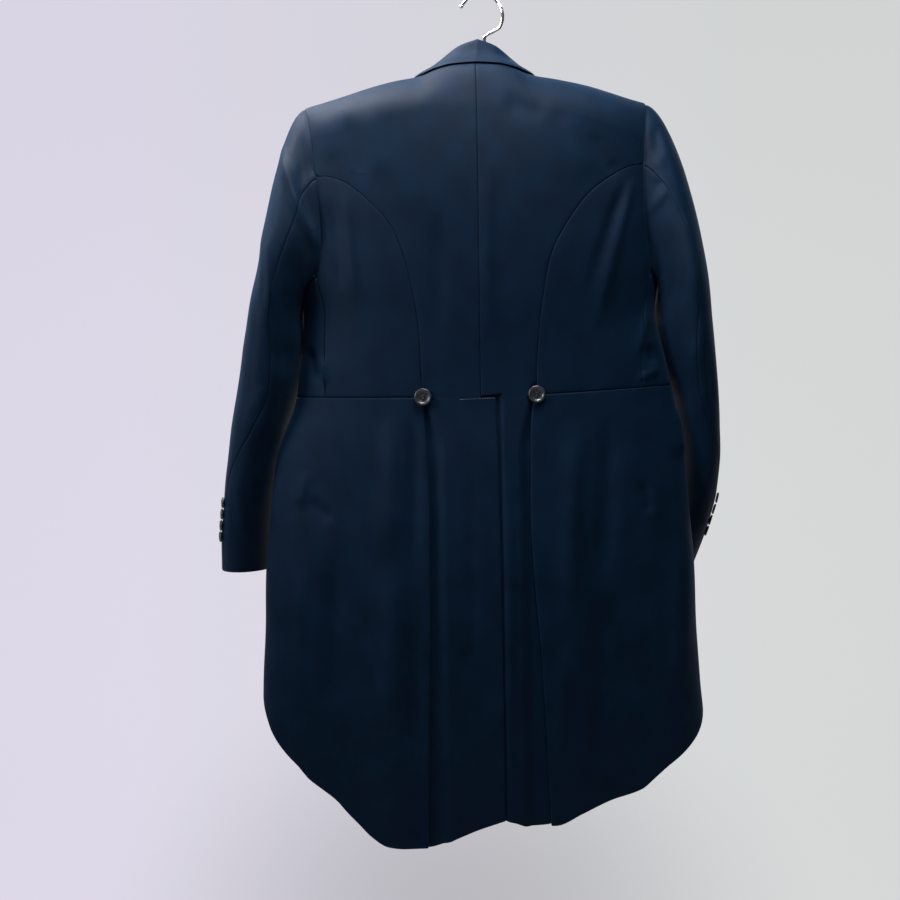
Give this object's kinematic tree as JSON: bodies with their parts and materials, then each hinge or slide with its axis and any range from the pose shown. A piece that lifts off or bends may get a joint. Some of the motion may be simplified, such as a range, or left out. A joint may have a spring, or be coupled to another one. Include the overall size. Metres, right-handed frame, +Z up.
{
  "type": "morning coat on a hanger",
  "caption": "Dark wool morning coat with a vented, pleated back and cutaway tails, hung open on a shaped hanger by its bent wire hook.",
  "frame": {"origin": "inside top of the hook, where it bears on a rail", "axes": "+Z up; the coat's front faces -Y and its back +Y; +X is the wearer's left"},
  "size_m": [0.673, 0.232, 1.0969],
  "materials": {
    "back_left_look": "fine wool",
    "sidebody_left_look": "fine wool",
    "front_left_look": "fine wool",
    "lapel_left_look": "fine wool",
    "skirt_left_look": "fine wool",
    "topsleeve_left_look": "fine wool",
    "undersleeve_left_look": "fine wool",
    "back_button_left_look": "dark horn-like gloss",
    "cuff_button_left_1_look": "dark horn-like gloss",
    "cuff_button_left_2_look": "dark horn-like gloss",
    "cuff_button_left_3_look": "dark horn-like gloss",
    "cuff_button_left_4_look": "dark horn-like gloss",
    "back_right_look": "fine wool",
    "sidebody_right_look": "fine wool",
    "front_right_look": "fine wool",
    "lapel_right_look": "fine wool",
    "skirt_right_look": "fine wool",
    "topsleeve_right_look": "fine wool",
    "undersleeve_right_look": "fine wool",
    "back_button_right_look": "dark horn-like gloss",
    "cuff_button_right_1_look": "dark horn-like gloss",
    "cuff_button_right_2_look": "dark horn-like gloss",
    "cuff_button_right_3_look": "dark horn-like gloss",
    "cuff_button_right_4_look": "dark horn-like gloss",
    "collar_look": "fine wool",
    "front_button_look": "dark horn-like gloss",
    "hanger_look": "satin",
    "hook_look": "polished"
  },
  "bodies": {
    "root": {"back_left": "back_left_look", "sidebody_left": "sidebody_left_look", "front_left": "front_left_look", "lapel_left": "lapel_left_look", "skirt_left": "skirt_left_look", "topsleeve_left": "topsleeve_left_look", "undersleeve_left": "undersleeve_left_look", "back_button_left": "back_button_left_look", "cuff_button_left_1": "cuff_button_left_1_look", "cuff_button_left_2": "cuff_button_left_2_look", "cuff_button_left_3": "cuff_button_left_3_look", "cuff_button_left_4": "cuff_button_left_4_look", "back_right": "back_right_look", "sidebody_right": "sidebody_right_look", "front_right": "front_right_look", "lapel_right": "lapel_right_look", "skirt_right": "skirt_right_look", "topsleeve_right": "topsleeve_right_look", "undersleeve_right": "undersleeve_right_look", "back_button_right": "back_button_right_look", "cuff_button_right_1": "cuff_button_right_1_look", "cuff_button_right_2": "cuff_button_right_2_look", "cuff_button_right_3": "cuff_button_right_3_look", "cuff_button_right_4": "cuff_button_right_4_look", "collar": "collar_look", "front_button": "front_button_look", "hanger": "hanger_look", "hook": "hook_look"}
  },
  "joints": []
}
